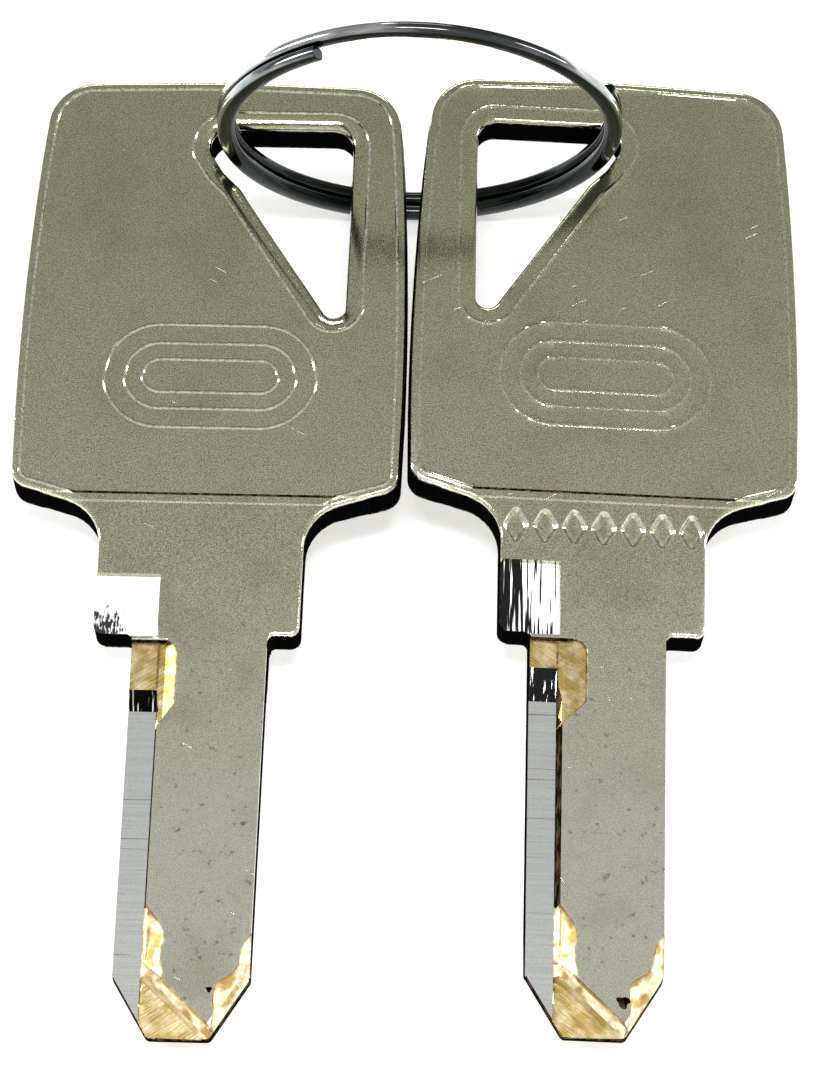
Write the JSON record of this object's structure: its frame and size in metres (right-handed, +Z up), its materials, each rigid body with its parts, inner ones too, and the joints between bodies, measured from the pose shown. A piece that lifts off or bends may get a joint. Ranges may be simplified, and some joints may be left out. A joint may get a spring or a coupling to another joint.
{
  "type": "switch keys on a split ring",
  "caption": "Flat reversible selector switch keys with wide bows, side-milled blades and a shared steel split ring that they slide round.",
  "frame": {"origin": "on the surface the set lies on, under the middle of its box", "axes": "+Y along the keys from their tips to their bows, +Z up from the surface, +X to the right when looking along +Y"},
  "size_m": [0.0464, 0.0604, 0.024],
  "materials": {
    "ring_steel": "dark polished spring steel",
    "plated_brass": "satin nickel plate over brass, bare brass in the milled cuts"
  },
  "bodies": {
    "split_ring": {"split_ring": "ring_steel"},
    "key_left": {"key_left": "plated_brass"},
    "key_right": {"key_right": "plated_brass"}
  },
  "joints": [
    {"name": "left_key_slide_round", "type": "hinge", "parent": "split_ring", "child": "key_left", "pos_m": [0.00081, 0.02463, 0.01199], "axis": [0, 0.9959, 0.0904], "range_deg": [0, 100]},
    {"name": "right_key_slide_round", "type": "hinge", "parent": "split_ring", "child": "key_right", "pos_m": [0.00081, 0.02463, 0.01199], "axis": [0, -0.9959, -0.0904], "range_deg": [0, 100]}
  ]
}
